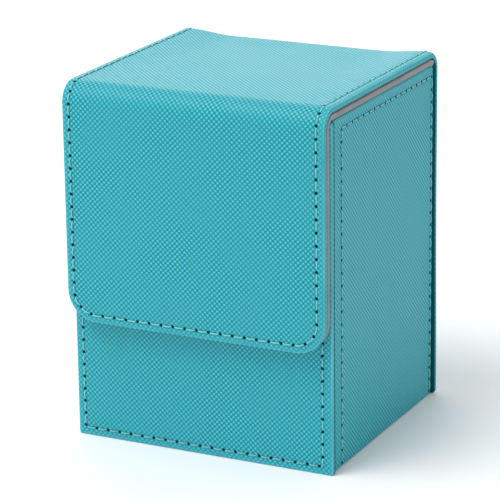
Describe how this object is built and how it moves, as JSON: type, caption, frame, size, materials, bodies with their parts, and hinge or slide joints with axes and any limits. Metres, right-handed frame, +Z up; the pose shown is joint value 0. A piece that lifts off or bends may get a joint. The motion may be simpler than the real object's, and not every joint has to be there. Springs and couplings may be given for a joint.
{
  "type": "card deck box",
  "caption": "Upright stitched leather deck box for trading cards, with a hinged lid and a front flap that folds down over the front panel and closes with hidden magnets.",
  "frame": {"origin": "on the surface the box stands on, under the middle of its footprint with the flap closed", "axes": "+X across the front to the right, +Y from the front flap to the back, +Z up"},
  "size_m": [0.08, 0.079, 0.1054],
  "materials": {
    "leather": "teal polyurethane leather, cross-grain embossed, satin",
    "thread": "teal bonded polyester thread",
    "microfibre": "warm grey microfibre suede",
    "board": "dense greyboard",
    "magnet": "nickel-plated disc magnet"
  },
  "bodies": {
    "box": {"front_board": "board", "front_cover": "leather", "front_lining": "microfibre", "front_stitching": "thread", "front_magnets": "magnet", "left_board": "board", "right_board": "board", "bottom_board": "board", "gusset_cover": "leather", "left_lining": "microfibre", "right_lining": "microfibre", "bottom_lining": "microfibre", "left_stitching": "thread", "right_stitching": "thread", "back_board": "board", "back_cover": "leather", "back_lining": "microfibre", "back_stitching": "thread", "hinge_fold_cover": "leather", "hinge_fold_lining": "microfibre", "hinge_fold_stitching": "thread"},
    "lid": {"lid_board": "board", "lid_cover": "leather", "lid_lining_card": "board", "lid_lining": "microfibre", "lid_stitching": "thread", "front_fold_cover": "leather", "front_fold_lining": "microfibre", "front_fold_stitching": "thread"},
    "flap": {"flap_board": "board", "flap_cover": "leather", "flap_lining_card": "board", "flap_lining": "microfibre", "flap_stitching": "thread", "flap_magnets": "magnet"}
  },
  "joints": [
    {"name": "lid_hinge", "type": "hinge", "parent": "box", "child": "lid", "pos_m": [0, 0.03711, 0.10296], "axis": [-1, 0, 0], "range_deg": [0, 175], "deforming": ["hinge_fold_cover", "hinge_fold_lining", "hinge_fold_stitching"]},
    {"name": "flap_fold", "type": "hinge", "parent": "lid", "child": "flap", "pos_m": [0, -0.037, 0.10285], "axis": [-1, 0, 0], "range_deg": [0, 135], "deforming": ["front_fold_cover", "front_fold_lining", "front_fold_stitching"]}
  ]
}
